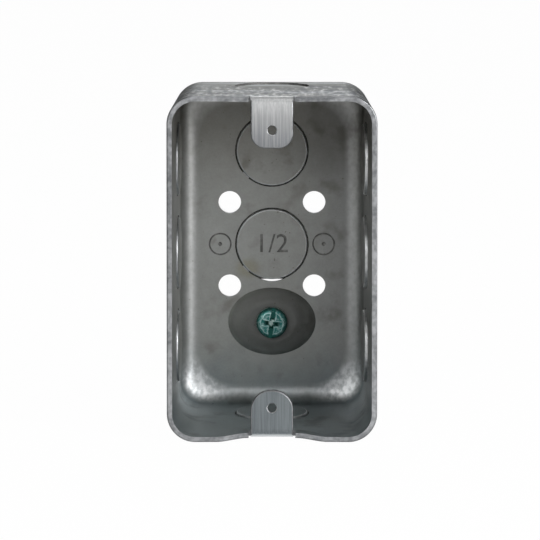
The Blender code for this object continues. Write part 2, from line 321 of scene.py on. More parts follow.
def add(primitive: Callable[..., Any], **settings: Any) -> Item:
    """Adds a primitive, with nothing else selected.

    Args:
        primitive: The operator that adds it.
        **settings: The operator's own settings.

    Returns:
        The new object.
    """
    bpy.ops.object.select_all(action="DESELECT")
    primitive(**settings)
    return bpy.context.object


def add_cylinder(diameter: float, low: float, high: float, axes: Matrix, sides: int) -> Item:
    """Adds a cylinder between two heights of a set of axes.

    Args:
        diameter: Its diameter.
        low: Where it starts along the axes' z.
        high: Where it ends along the axes' z.
        axes: The axes that it stands on.
        sides: How many sides its round has.

    Returns:
        The new object, with its place in its mesh.
    """
    item = add(bpy.ops.mesh.primitive_cylinder_add, vertices=sides, radius=diameter / 2, depth=high - low)
    item.matrix_world = axes @ Matrix.Translation((0, 0, (low + high) / 2))
    return settle(item)


def add_block(size: Point, middle: Point, axes: Matrix) -> Item:
    """Adds a block on a set of axes.

    Args:
        size: Its length along each axis.
        middle: Its middle, in the axes.
        axes: The axes that it stands on.

    Returns:
        The new object, with its place in its mesh.
    """
    item = add(bpy.ops.mesh.primitive_cube_add, size=1)
    item.matrix_world = axes @ Matrix.Translation(middle) @ Matrix.Diagonal((*size, 1))
    return settle(item)


def wind_thread(start: Vector, root: float, crest: float, pitch: float, length: float) -> Item:
    """Winds one thread ridge towards the back, round an axis through the depth of the box.

    Args:
        start: The point on the axis where the ridge starts.
        root: The radius at the ridge's two feet.
        crest: The radius at its crest.
        pitch: The distance from turn to turn.
        length: The room for it along the axis.

    Returns:
        The ridge as a closed coil.
    """
    half = pitch * THREAD_FOOT
    coil = add(bpy.ops.mesh.primitive_circle_add, vertices=3, radius=1, fill_type="NOTHING")
    for point, (radius, along) in zip(coil.data.vertices, ((root, -half), (crest, 0.0), (root, half))):
        point.co = (radius, along, 0.0)
    winding = {"axis": "Y", "angle": math.tau, "screw_offset": pitch, "use_normal_calculate": True}
    fineness = {"steps": THREAD_STEPS, "render_steps": THREAD_STEPS}
    apply_modifier(coil, "SCREW", iterations=int((length - 2 * half) / pitch), **winding, **fineness)
    with Bench(coil) as bench:
        bench.pick(Pick.EDGES, lambda edge: edge.is_boundary)
        bpy.ops.mesh.fill_holes(sides=4)
        bench.even_normals()
    coil.location = start + Vector((0, half, 0))
    return settle(coil)


def wall_axes(place: Vector, inward: Vector, along: Vector) -> Matrix:
    """Gives axes at a place on the outside of a wall, with x along it and z into the box."""
    across = inward.cross(along)
    return Matrix.Translation(place) @ Matrix((along, across, inward)).transposed().to_4x4()


# Materials


def opaque(colour: Any) -> Any:
    """Adds an alpha of 1 to a plain colour and leaves a linked one as it is."""
    return colour if isinstance(colour, Ink) else (*colour, 1.0)


def distance(across: "Ink", along: "Ink") -> "Ink":
    """Gives the distance that two values at right angles make."""
    return (across * across + along * along).math("SQRT")


class Ink:
    """A shader value: arithmetic on it adds Math nodes to its material."""

    def __init__(self, tree: "NodeKit", socket: bpy.types.NodeSocket) -> None:
        """Wraps an output socket of a set of nodes."""
        self.tree = tree
        self.socket = socket

    def math(self, operation: str, *others: Any) -> "Ink":
        """Adds a Math node that works on this value and its other operands."""
        return self.tree.node("ShaderNodeMath", {"operation": operation}, dict(enumerate((self, *others))))

    def __add__(self, other: Any) -> "Ink":
        """Adds."""
        return self.math("ADD", other)

    def __radd__(self, other: Any) -> "Ink":
        """Adds, reflected."""
        return self.math("ADD", other)

    def __sub__(self, other: Any) -> "Ink":
        """Subtracts."""
        return self.math("SUBTRACT", other)

    def __rsub__(self, other: Any) -> "Ink":
        """Subtracts, reflected."""
        return self * -1.0 + other

    def __mul__(self, other: Any) -> "Ink":
        """Multiplies."""
        return self.math("MULTIPLY", other)

    def __rmul__(self, other: Any) -> "Ink":
        """Multiplies, reflected."""
        return self.math("MULTIPLY", other)

    def __abs__(self) -> "Ink":
        """Drops the sign."""
        return self.math("ABSOLUTE")

    def fade(self, start: float, end: float) -> "Ink":
        """Rises smoothly from 0 at the start to 1 at the end, which may be the lower of the two.

        Args:
            start: The value that gives 0.
            end: The value that gives 1.

        Returns:
            The share between them.
        """
        inputs = {"Value": self, "From Min": min(start, end), "From Max": max(start, end)}
        share = self.tree.node("ShaderNodeMapRange", {"interpolation_type": "SMOOTHSTEP"}, inputs)
        return share if start < end else 1.0 - share


class NodeKit:
    """The nodes of one material or of the world, with one method that adds any of them."""

    def __init__(self, tree: bpy.types.NodeTree) -> None:
        """Takes a node tree and empties it."""
        self.tree = tree
        self.tree.nodes.clear()

    def node(self, kind: str, settings: dict[str, Any], inputs: dict[Any, Any], out: Any = 0) -> Ink:
        """Adds a node.

        Args:
            kind: The node's type.
            settings: Its own settings, which are set before its sockets.
            inputs: Values or links for its sockets, by name or number.
            out: The output that is wanted, by name or number.

        Returns:
            That output.
        """
        node = self.tree.nodes.new(kind)
        adjust(node, settings)
        for name, value in inputs.items():
            if isinstance(value, Ink):
                self.tree.links.new(value.socket, node.inputs[name])
            else:
                node.inputs[name].default_value = value
        return Ink(self, node.outputs[out])

    def ray(self, kind: str) -> Ink:
        """Says whether the light path is of a kind, such as a camera ray."""
        return self.node("ShaderNodeLightPath", {}, {}, out=kind)

    def close(self, kind: str, shader: Ink) -> None:
        """Links a shader to a new output node."""
        output = self.tree.nodes.new(kind)
        self.tree.links.new(shader.socket, output.inputs["Surface"])

    def mix_shaders(self, share: Any, first: Ink, second: Ink) -> Ink:
        """Mixes two shaders."""
        return self.node("ShaderNodeMixShader", {}, {0: share, 1: first, 2: second})


class Surface(NodeKit):
    """A node material under construction, read on the object's own coordinates."""

    def __init__(self, name: str) -> None:
        """Starts an empty material.

        Args:
            name: The material's name.
        """
        self.material = bpy.data.materials.new(name)
        self.material.use_nodes = True
        super().__init__(self.material.node_tree)
        self.place = self.node("ShaderNodeTexCoord", {}, {}, out="Object")

    def axis(self, name: str) -> Ink:
        """Gives one object coordinate, in metres."""
        return self.node("ShaderNodeSeparateXYZ", {}, {"Vector": self.place}, out=name)

    def stretched(self, factors: Point) -> Ink:
        """Gives the coordinates scaled by a factor along each axis."""
        return self.node("ShaderNodeVectorMath", {"operation": "MULTIPLY"}, {0: self.place, 1: factors})

    def noise(self, size: float, detail: float = 2.0, stretch: Point | None = None) -> Ink:
        """Gives noise by the size of its features and its finer octaves, drawn out where a factor is low."""
        where = self.stretched(stretch) if stretch else self.place
        return self.node("ShaderNodeTexNoise", {}, {"Vector": where, "Scale": 1 / size, "Detail": detail})

    def blend(self, share: Any, first: Any, second: Any, how: str = "MIX") -> Ink:
        """Mixes two colours, by the share of the second and a way of mixing."""
        inputs = {"Factor": share, 6: opaque(first), 7: opaque(second)}
        return self.node("ShaderNodeMix", {"data_type": "RGBA", "blend_type": how}, inputs, out=2)

    def tint(self, share: Any, colour: Any, tone: Tone) -> Ink:
        """Multiplies a share of a colour by a tone."""
        return self.blend(share, colour, tone, "MULTIPLY")

    def finish(self, colour: Any, roughness: Any, metallic: Any, height: Ink) -> Material:
        """Closes the material with a metal shader.

        Args:
            colour: Its colour.
            roughness: Its roughness.
            metallic: How metallic it is.
            height: The relief of its surface, in millimetres.

        Returns:
            The finished material.
        """
        normal = self.node("ShaderNodeBump", {}, {"Strength": 1.0, "Distance": MM, "Height": height})
        inputs = {"Base Color": opaque(colour), "Roughness": roughness, "Metallic": metallic}
        shader = self.node("ShaderNodeBsdfPrincipled", {}, {**inputs, "Normal": normal})
        self.close("ShaderNodeOutputMaterial", shader)
        return self.material


@dataclass(frozen=True)
class SheetFinish:
    """Galvanised sheet: cloudy zinc with fine drawn streaks, stains, specks and brushed ears, with painted
    highlight and shade on the ears.
    """

    name: str
    low: Vector
    high: Vector
    pale: Tone = (0.44, 0.45, 0.44)
    dark: Tone = (0.335, 0.34, 0.325)
    stain: Tone = (0.20, 0.19, 0.165)
    # Pale rubbed tone: real scores on the outside, and a painted highlight on the inside's bend and corners.
    rub: Tone = (0.92, 0.93, 0.94)
    brushed_pale: Tone = (0.57, 0.575, 0.575)
    brushed_dark: Tone = (0.25, 0.26, 0.275)
    # A cooler tone that also darkens the lower ear: painted shade.
    brushed_low_shade: Tone = (0.73, 0.79, 0.80)
    # A pale tone on the lower ear's fold: a painted highlight.
    fold_highlight: Tone = (0.88, 0.91, 0.92)
    cloud_size: float = 24 * MM
    mottle_size: float = 3.2 * MM
    grain_size: float = 0.5 * MM
    streak_size: float = 0.7 * MM
    streak_stretch: Point = (1.0, 0.05, 1.0)
    stain_size: float = 9 * MM
    stain_share: float = 0.5
    speck_size: float = 1.1 * MM
    brush_size: float = 0.40 * MM
    brush_stretch: Point = (1.0, 1.0, 0.03)
    brushed_half_width: float = 6.6 * MM
    brushed_border: float = 0.2 * MM
    brushed_depth: float = 3.0 * MM
    # Heights between which the painted highlight on the ears rises.
    ear_tip_rise: float = 36.0 * MM
    ear_root_rise: float = 49.2 * MM

    def rise(self, skin: Surface) -> Ink:
        """Gives the height above the middle of the box."""
        return skin.axis("Z") - (self.low.z + self.high.z) / 2

    def wear(self, skin: Surface, colour: Ink) -> tuple[Ink, Ink]:
        """Lays the wear of one side over its colour, with any painted light, and says how much smoother the
        surface is there.
        """
        raise NotImplementedError

    def brush(self, skin: Surface, colour: Ink, lines: Ink) -> tuple[Ink, Ink]:
        """Brushes the two ears lengthwise, with a painted highlight brightening them towards the upper fold,
        painted shade darkening the lower ear and a painted highlight on its fold.

        Args:
            skin: The material.
            colour: The colour of the sheet around them.
            lines: The pattern of the brush lines.

        Returns:
            The colour, and where the ears are.
        """
        edge = self.brushed_half_width
        front = self.low.y + self.brushed_depth
        across = abs(skin.axis("X")).fade(edge, edge - self.brushed_border)
        ears = across * skin.axis("Y").fade(front, front - self.brushed_depth / 2)
        rise = self.rise(skin)
        # The ears grow lighter towards the upper fold: a painted highlight.
        tone = lines.fade(0.3, 0.7) * 0.35 + rise.fade(self.ear_tip_rise, self.ear_root_rise) * 0.65
        brushed = skin.blend(tone, self.brushed_dark, self.brushed_pale)
        # The lower ear is tinted cooler and darker: painted shade.
        brushed = skin.tint(rise.fade(MM, -MM), brushed, self.brushed_low_shade)
        # The lower fold is painted pale: a painted highlight.
        fold = rise.fade(-self.ear_root_rise, -self.ear_root_rise - MM)
        brushed = skin.blend(fold, brushed, self.fold_highlight)
        return skin.blend(ears, colour, brushed), ears

    def material(self) -> Material:
        """Makes the material.

        Returns:
            The material.
        """
        skin = Surface(self.name)
        cloud = skin.noise(self.cloud_size, 3.0)
        mottle = skin.noise(self.mottle_size, 4.0)
        grain = skin.noise(self.grain_size)
        streaks = skin.noise(self.streak_size, 3.0, self.streak_stretch)
        lines = skin.noise(self.brush_size, 3.0, self.brush_stretch)

        tone = cloud.fade(0.32, 0.68) * 0.35 + mottle.fade(0.30, 0.70) * 0.30
        tone = tone + streaks.fade(0.3, 0.7) * 0.15 + grain.fade(0.3, 0.7) * 0.2
        colour = skin.blend(tone, self.dark, self.pale)
        stains = skin.noise(self.stain_size, 5.0).fade(0.54, 0.72) * self.stain_share
        specks = skin.noise(self.speck_size, 1.0).fade(0.735, 0.79) * 0.7
        for share in (stains, specks):
            colour = skin.blend(share, colour, self.stain)
        colour, polish = self.wear(skin, colour)
        colour, ears = self.brush(skin, colour, lines)

        roughness = 0.36 + mottle * 0.14 + grain * 0.10 + stains * 0.15 + ears * 0.08 - polish
        height = cloud * 0.30 + mottle * 0.018 + streaks * 0.006 + grain * 0.002
        return skin.finish(colour, roughness, 1.0, height + ears * lines * 0.02 - specks * 0.02)


@dataclass(frozen=True)
class OuterFinish(SheetFinish):
    """The outside of the sheet: soft bands round the walls, and fine scores along them from the die."""

    band_pale: Tone = (0.70, 0.73, 0.77)
    band_dark: Tone = (0.22, 0.235, 0.26)
    band_size: float = 7 * MM
    band_stretch: Point = (0.12, 1.0, 0.12)
    band_end: Span = (2 * MM, 9 * MM)
    score_size: float = 1.1 * MM
    score_stretch: Point = (0.7, 0.22, 0.7)
    scored_depth: float = 36.0 * MM
    scored_fade: float = 5 * MM
    end_rise: Span = (43 * MM, 47 * MM)

    def wear(self, skin: Surface, colour: Ink) -> tuple[Ink, Ink]:
        """Lays the bands and the scores over the colour.

        Args:
            skin: The material.
            colour: The colour so far.

        Returns:
            The worn colour, and how much smoother the surface is there.
        """
        depth = skin.axis("Y") - self.low.y
        full = self.high.y - self.low.y
        walls = depth.fade(*(full - end for end in self.band_end))
        bands = skin.noise(self.band_size, 3.0, self.band_stretch)
        colour = skin.blend(bands.fade(0.52, 0.34) * walls * 0.75, colour, self.band_dark)
        colour = skin.blend(bands.fade(0.48, 0.68) * walls * 0.7, colour, self.band_pale)
        scores = skin.noise(self.score_size, 6.0, self.score_stretch)
        ends = abs(self.rise(skin)).fade(*self.end_rise) * 0.75 + 0.25
        reach = depth.fade(self.scored_depth + self.scored_fade, self.scored_depth - self.scored_fade) * ends
        colour = skin.blend(scores.fade(0.54, 0.34) * reach * 0.8, colour, self.band_dark)
        bright = scores.fade(0.50, 0.76) * reach
        return skin.blend(bright * 0.9, colour, self.rub), bright * 0.05


@dataclass(frozen=True)
class InnerFinish(SheetFinish):
    """The inside: warm with painted shade above, cooler and darker below, with painted shade to the right
    and over the pad, and polished corners with a painted highlight.
    """

    # A warm tint that also darkens the top: partly a tint, partly painted shade.
    upper: Tone = (0.74, 0.72, 0.69)
    upper_rise: Span = (10 * MM, 38 * MM)
    lower: Tone = (0.74, 0.83, 0.89)
    lower_rise: Span = (-28 * MM, -52 * MM)
    # Painted shade, darkening the right of the inside.
    right: Tone = (0.76, 0.76, 0.77)
    right_shade_side: Span = (3 * MM, 23 * MM)
    drift_size: float = 12 * MM
    drift_reach: float = 20 * MM
    # Painted shade over the pressed pad.
    pad_shade: Tone = (0.68, 0.68, 0.68)
    pad_half_width: float = 12.6 * MM
    pad_half_height: float = 9.6 * MM
    pad_drop: float = 23.3 * MM
    rust: Tone = (0.90, 0.87, 0.75)
    rust_x: float = -7.6 * MM
    rust_rise: float = -7.0 * MM
    rust_reach: Span = (4.0 * MM, 1.0 * MM)
    # Where the painted highlight on the bend and lower corners lies.
    flat_half_width: float = 22.6 * MM
    flat_half_height: float = 43.2 * MM
    flat_corner: float = 11.0 * MM
    bend_blur: float = 1.2 * MM
    bend_front: float = 5.2 * MM
    bend_back: float = 2.4 * MM
    corner_side: Span = (11 * MM, 20 * MM)
    corner_rise: Span = (-33 * MM, -41 * MM)
    scratch_size: float = 1.3 * MM
    scratch_stretch: Point = (1.0, 0.7, 0.8)

    def wear(self, skin: Surface, colour: Ink) -> tuple[Ink, Ink]:
        """Lays the tints with their painted shade, the painted shade over the pad, the smear of rust and the
        polished bend and corners with their painted highlight over the colour.

        Args:
            skin: The material.
            colour: The colour so far.

        Returns:
            The worn colour, and how much smoother the surface is there.
        """
        rise = self.rise(skin)
        side = skin.axis("X")
        drift = (skin.noise(self.drift_size, 3.0) - 0.5) * self.drift_reach
        across = side * (1 / self.pad_half_width)
        along = (rise + self.pad_drop) * (1 / self.pad_half_height)
        spread = across * across + along * along
        flank = spread.fade(1.05, 0.90)
        smear = distance(side - self.rust_x, rise - self.rust_rise) + drift * 0.3
        # Warm tint and painted shade above, a cooler and darker tone below, painted shade to the right but
        # off the pad, and painted shade over the pad.
        tints = (
            ((rise + drift).fade(*self.upper_rise), self.upper),
            ((rise + drift).fade(*self.lower_rise), self.lower),
            ((side + drift).fade(*self.right_shade_side) * (1.0 - flank), self.right),
            (spread.fade(0.85, 0.30), self.pad_shade),
            (smear.fade(*self.rust_reach), self.rust),
        )
        for share, tone in tints:
            colour = skin.tint(share, colour, tone)

        wide = (abs(side) - (self.flat_half_width - self.flat_corner)).math("MAXIMUM", 0.0)
        tall = (abs(rise) - (self.flat_half_height - self.flat_corner)).math("MAXIMUM", 0.0)
        border = (distance(wide, tall) - self.flat_corner).fade(-self.bend_blur, self.bend_blur)
        bend = border * skin.axis("Y").fade(self.high.y - self.bend_front, self.high.y - self.bend_back)
        corner = abs(side).fade(*self.corner_side) * rise.fade(*self.corner_rise) * bend
        scratches = skin.noise(self.scratch_size, 4.0, self.scratch_stretch).fade(0.32, 0.66)
        # Pale rub over the whole bend and more at the lower corners, with scratches in it: a painted
        # highlight where the lamps catch the bend.
        worn = corner * (scratches * 0.48 + 0.28) + bend * (scratches * 0.10 + 0.16)
        return skin.blend(worn, colour, self.rub), corner * -0.05 - flank * 0.28


@dataclass(frozen=True)
class ShearedFinish:
    """The edge that a punch or a trimming die leaves through the sheet, with painted shade towards the left
    where its tone is not white.
    """

    name: str
    pale: Tone
    dark: Tone
    # Painted shade: a tone that darkens the edge towards the left.
    left_shade: Tone = WHITE
    left_shade_side: Span = (15 * MM, -15 * MM)
    tear_size: float = 1.3 * MM
    patch_size: float = 6.0 * MM
    grain_size: float = 0.3 * MM

    def material(self) -> Material:
        """Makes the material.

        Returns:
            The material.
        """
        skin = Surface(self.name)
        torn = skin.noise(self.tear_size, 4.0)
        patches = skin.noise(self.patch_size, 3.0)
        tone = torn.fade(0.34, 0.64) * 0.5 + patches.fade(0.36, 0.62) * 0.5
        colour = skin.blend(tone, self.dark, self.pale)
        # Painted shade towards the left.
        colour = skin.tint(skin.axis("X").fade(*self.left_shade_side), colour, self.left_shade)
        height = torn * 0.10 + skin.noise(self.grain_size) * 0.01
        return skin.finish(colour, 0.34 + torn * 0.22, 1.0, height)


@dataclass(frozen=True)
class GrooveFinish:
    """Painted shade at the bottom of a slit or a stamped line, in patches of two tones."""

    name: str
    groove_shade_tone: Tone
    zinc: Tone
    patch_size: float = 1.6 * MM

    def material(self) -> Material:
        """Makes the material.

        Returns:
            The material.
        """
        skin = Surface(self.name)
        patches = skin.noise(self.patch_size, 3.0)
        # Painted shade: dark patches standing for the shade down in the groove.
        colour = skin.blend(patches.fade(0.40, 0.70), self.groove_shade_tone, self.zinc)
        return skin.finish(colour, 0.55 + patches * 0.2, 0.7, patches * 0.03)


@dataclass(frozen=True)
class ScrewFinish:
    """Green dyed plating, with painted shade down in the recess and below, a painted glint at the bottom of
    the recess, and worn pale along the edges of the drive.
    """

    crown: Vector
    drive_turn: float
    name: str = "green_plating"
    body: Tone = (0.04, 0.20, 0.185)
    worn: Tone = (0.50, 0.70, 0.69)
    # Painted shade, from a little below the top of the head downwards.
    recess_shade: Tone = (0.008, 0.085, 0.065)
    # Bare metal for the chips, and a painted glint at the bottom of the recess.
    bare_and_glint: Tone = (0.72, 0.92, 0.88)
    wear_size: float = 1.1 * MM
    worn_depth: Span = (1.3 * MM, 0.5 * MM)
    recess_depth: Span = (0.5 * MM, 1.4 * MM)
    # Depths of the painted glint at the bottom of the recess.
    glint_start: Span = (1.6 * MM, 2.0 * MM)
    glint_end: Span = (2.6 * MM, 2.4 * MM)
    chip_size: float = 0.6 * MM
    grain_size: float = 0.25 * MM
    edge_radius: float = 3.35 * MM
    edge_offset: float = 0.95 * MM
    line: float = 0.22 * MM
    waver_size: float = 1.6 * MM
    waver_reach: float = 1.4 * MM

    def worn_edges(self, skin: Surface) -> Ink:
        """Finds the edges that a driver and the plating barrel have rubbed.

        Args:
            skin: The material.

        Returns:
            The share of wear: lines round the crown and along both wings of the drive.
        """
        across = skin.axis("X") - self.crown.x
        up = skin.axis("Z") - self.crown.z
        waver = (skin.noise(self.waver_size) - 0.5) * self.waver_reach
        turned = across * math.cos(self.drive_turn) - up * math.sin(self.drive_turn)
        upright = across * math.sin(self.drive_turn) + up * math.cos(self.drive_turn)
        radius = distance(across, up) + waver
        wing = abs(turned).math("MINIMUM", abs(upright)) + waver * 0.5
        ring = abs(radius - self.edge_radius).fade(self.line, self.line / 3)
        sides = abs(wing - self.edge_offset).fade(self.line * 0.8, self.line / 4)
        return ring.math("MAXIMUM", sides * radius.fade(self.edge_radius, self.edge_radius - self.line))

    def material(self) -> Material:
        """Makes the material.

        Returns:
            The material.
        """
        skin = Surface(self.name)
        depth = skin.axis("Y") - self.crown.y
        wear = skin.noise(self.wear_size, 4.0)
        rub = (self.worn_edges(skin) * 0.6 + wear.fade(0.45, 0.62) * 0.4) * depth.fade(*self.worn_depth)
        # Where the painted glint goes, at the bottom of the recess.
        foot = depth.fade(*self.glint_start) * depth.fade(*self.glint_end)
        chips = skin.noise(self.chip_size, 3.0).fade(0.66, 0.72)
        layers = (
            (rub, self.worn),
            # Painted shade below the top of the head, then a painted glint at the recess's bottom, then bare
            # chips.
            (depth.fade(*self.recess_depth) * 0.8, self.recess_shade),
            (foot * wear.fade(0.40, 0.50) * 0.9, self.bare_and_glint),
            (chips * 0.6, self.bare_and_glint),
        )
        colour: Any = self.body
        for share, tone in layers:
            colour = skin.blend(share, colour, tone)
        height = wear * 0.04 + skin.noise(self.grain_size) * 0.008
        return skin.finish(colour, 0.32 + wear * 0.2, 0.8, height)


# The drawn box


@dataclass(frozen=True)
class Ear:
    """One device ear, folded in from an end wall between two relief notches."""

    side: int
    tip_radius: float
    wall_inset: float
    slack: float
    half_width: float = 6.35 * MM
    tip_rise: float = 36.27 * MM
    hole_rise: float = 41.67 * MM
    hole_diameter: float = 3.1 * MM
    thread_start: float = 0.12 * MM
    thread_grip: float = 0.1 * MM
    thread_depth: float = 0.28 * MM
    thread_pitch: float = 0.6 * MM
    fold_radius: float = 2.6 * MM
    slack_radius: float = 25.0 * MM
    notch_width: float = 0.6 * MM
    notch_depth: float = 3.6 * MM

    @property
    def blank_half(self) -> float:
        """Half the width that the ear and its two notches take up in the wall."""
        return self.half_width + self.notch_width


@dataclass(frozen=True)
class Pad:
    """The oval pad that is pressed forward out of the back, under the ground screw."""

    half_width: float = 12.4 * MM
    half_height: float = 9.35 * MM
    top_half_width: float = 6.8 * MM
    top_half_height: float = 5.2 * MM
    rise: float = 4.8 * MM
    below_centre: float = 23.1 * MM
    foot_drop: float = 0.5 * MM
    blend: float = 0.10
    steps: int = 18
    points: int = 72

    def height_at(self, share: float) -> float:
        """Gives the side's height, from share 0 at the foot, where it runs out smoothly, to 1 at the top."""
        reach = share if share > self.blend else (share + self.blend) ** 2 / (4 * self.blend)
        return self.rise * (0.25 * reach + 0.75 * math.sin(RIGHT_ANGLE * reach))

    def rings(self) -> list[Ring]:
        """Gives the pad's rings from its foot to its top.

        Returns:
            The rings.
        """
        shares = [-self.blend + (1 + self.blend) * step / self.steps for step in range(self.steps + 1)]
        wider = self.top_half_width - self.half_width
        taller = self.top_half_height - self.half_height
        return [
            Ring(
                self.half_width + wider * share,
                self.half_height + taller * share,
                self.height_at(share),
                self.foot_drop * (1 - share),
            )
            for share in shares
        ]


@dataclass
class DrawnBox:
    """The box: one drawn sheet with its ears, pad, holes, knockouts and stamped marks."""

    low: Vector
    high: Vector
    finishes: Sequence[Material]
    ears: tuple[Ear, ...] = (
        Ear(1, 4.4 * MM, 0.15 * MM, math.radians(10)),
        Ear(-1, 6.0 * MM, 1.25 * MM, math.radians(2)),
    )
    pad: Pad = Pad()
    sheet: float = 1.6 * MM
    draft: float = math.radians(2.5)
    corner_radius: float = 8.5 * MM
    flat_corner_radius: float = 7.4 * MM
    corner_segments: int = 16
    bend_radius: float = 6.6 * MM
    bend_segments: int = 12
    dish_width: float = 9.0 * MM
    dish_depth: float = 10.0 * MM
    dish_steps: int = 6
    fold_steps: int = 10
    slack_steps: int = 6
    knockout_diameter: float = 22.2 * MM
    knockout_slit: float = 0.42 * MM
    knockout_push: float = 0.6 * MM
    disc_radius: float = 0.40 * MM
    right_push: float = 0.85 * MM
    knockout_from_back: float = 18.5 * MM
    knockout_segments: int = 96
    side_pitch: float = 28.2 * MM
    back_rise: float = 28.5 * MM
    tie_width: float = 2.4 * MM
    tie_angle: float = math.radians(224)
    tie_grip: float = 0.5 * MM
    tie_cover: float = 0.1 * MM
    web_low: float = 1.0 * MM
    web_high: float = 1.3 * MM
    web_grip: float = 0.15 * MM
    chink_drop: float = 10.67 * MM
    chink_radius: float = 8.0 * MM
    chink_width: float = 0.42 * MM
    rim_radius: float = 0.45 * MM
    rim_reach: float = 1.0 * MM
    rounding_segments: int = 3
    stamp_depth: float = 0.25 * MM
    stamp_size: float = 8.0 * MM
    ring_mark_place: float = 15.6 * MM
    ring_mark_radius: float = 3.2 * MM
    ring_mark_line: float = 0.24 * MM
    dot_mark_radius: float = 0.7 * MM
    mount_diameter: float = 6.8 * MM
    mount_pitch: float = 25.4 * MM
    screw_hole_diameter: float = 4.8 * MM
    hole_segments: int = 56
    edge_radius: float = 0.14 * MM
    edge_angle: float = math.radians(50)
    reach: float = 2.0 * MM
    body: Item = field(init=False)

    @property
    def width(self) -> float:
        """Width at the rim."""
        return self.high.x - self.low.x

    @property
    def height(self) -> float:
        """Height at the rim."""
        return self.high.z - self.low.z

    @property
    def depth(self) -> float:
        """Depth from the rim to the back."""
        return self.high.y - self.low.y

    @property
    def middle(self) -> float:
        """Height of the middle of the box."""
        return (self.low.z + self.high.z) / 2

    def back_axes(self, x: float, y: float, rise: float) -> Matrix:
        """Gives axes that face the front, at a depth and a height above the middle."""
        return wall_axes(Vector((x, y, self.middle + rise)), TO_FRONT, TO_RIGHT)

    def dress(self, item: Item, side: Side) -> Item:
        """Gives a solid all the finishes of the sheet and shows one of them on it."""
        return paint(item, self.finishes, side.value)

    def draw_cup(self) -> Item:
        """Draws the cup: tapered walls, rounded corners, a rounded back bend and an open front.

        Returns:
            The outer skin as an open surface.
        """
        bend_depth = self.depth - self.bend_radius
        taper = bend_depth * math.tan(self.draft)
        tangent = self.bend_radius * (1 / math.cos(self.draft) - 1)
        sections = [(self.low.y, 0.0, self.corner_radius)]
        for step in range(self.bend_segments + 1):
            angle = self.draft + (RIGHT_ANGLE - self.draft) * step / self.bend_segments
            share = 1 - math.cos(angle)
            radius = self.corner_radius + (self.flat_corner_radius - self.corner_radius) * share
            place = self.low.y + bend_depth + self.bend_radius * math.sin(angle)
            sections.append((place, taper + tangent + self.bend_radius * share, radius))
        item = join([self.add_outline(*section) for section in sections])
        item.name = item.data.name = "drawn_box"
        with Bench(item) as bench:
            for near, far in zip(sections, sections[1:]):
                front, back = near[0] - TINY, far[0] + TINY
                bench.pick(Pick.EDGES, lambda edge: all(front < v.co.y < back for v in edge.verts))
                bpy.ops.mesh.bridge_edge_loops()
            bench.pick(Pick.EDGES, lambda edge: edge.is_boundary and edge.verts[0].co.y > self.high.y - TINY)
            bpy.ops.mesh.edge_face_add()
        return item

    def add_outline(self, place: float, inset: float, radius: float) -> Item:
        """Adds one section of the cup's outside as a rounded rectangle of edges.

        Args:
            place: Where the section lies along the depth.
            inset: How far the walls have drawn in there.
            radius: The radius of its corners.

        Returns:
            The section.
        """
        standing = {"location": (0, place, self.middle), "rotation": (RIGHT_ANGLE, 0, 0)}
        item = add(bpy.ops.mesh.primitive_plane_add, size=1, **standing)
        item.scale = (self.width - 2 * inset, self.height - 2 * inset, 1)
        with Bench(settle(item)) as bench:
            bench.pick_all()
            bench.round_off(radius, self.corner_segments, affect="VERTICES")
            bench.pick_all()
            bpy.ops.mesh.delete(type="ONLY_FACE")
        return item

    def at_front(self, spot: Vector, ear: Ear, half_width: float, depth: float) -> bool:
        """Says whether a spot lies at an ear's end of the box, within a width and a depth from the rim."""
        at_end = ear.side * (spot.z - self.middle) > 0
        return at_end and abs(spot.x) < half_width and spot.y < self.low.y + depth

    def dish_end(self, bench: Bench, ear: Ear) -> None:
        """Sets an end wall in behind its ear, and cuts the two notches beside the ear.

        Args:
            bench: The body on the bench.
            ear: The ear of that end.
        """
        steps = range(self.dish_steps + 1)
        columns = [ear.half_width]
        columns += [ear.blank_half + self.dish_width * step / self.dish_steps for step in steps]
        rows = [ear.notch_depth + self.dish_depth * step / self.dish_steps for step in steps]
        cuts = [((place, 0, 0), (1, 0, 0)) for column in columns for place in (column, -column)]
        cuts += [((0, self.low.y + row, 0), (0, 1, 0)) for row in rows]
        for place, normal in cuts:
            bench.pick(Pick.FACES, lambda face: ear.side * face.normal.z > FACING)
            bench.cut(place, normal)

        def in_notch(face: bmesh.types.BMFace) -> bool:
            """Says whether a face lies in a notch of this end."""
            spot = face.calc_center_median()
            return abs(spot.x) > ear.half_width and self.at_front(spot, ear, ear.blank_half, ear.notch_depth)

        reach = (ear.blank_half + TINY, ear.notch_depth + TINY)
        bench.pick(Pick.POINTS, lambda v: self.at_front(v.co, ear, *reach))
        bench.move(
            (0, 0, -ear.side * ear.wall_inset),
            use_proportional_edit=True,
            proportional_edit_falloff="SMOOTH",
            proportional_size=self.dish_depth,
        )
        bench.pick(Pick.FACES, in_notch)
        bpy.ops.mesh.delete(type="FACE")

    def fold_ear(self, bench: Bench, ear: Ear) -> None:
        """Folds an ear in from the rim and draws it on to its tip.

        Args:
            bench: The body on the bench.
            ear: The ear.
        """
        def at_root(edge: bmesh.types.BMEdge) -> bool:
            """Says whether an edge is the ear's end of the wall."""
            reach = (ear.half_width + TINY, TINY)
            return edge.is_boundary and all(self.at_front(v.co, ear, *reach) for v in edge.verts)

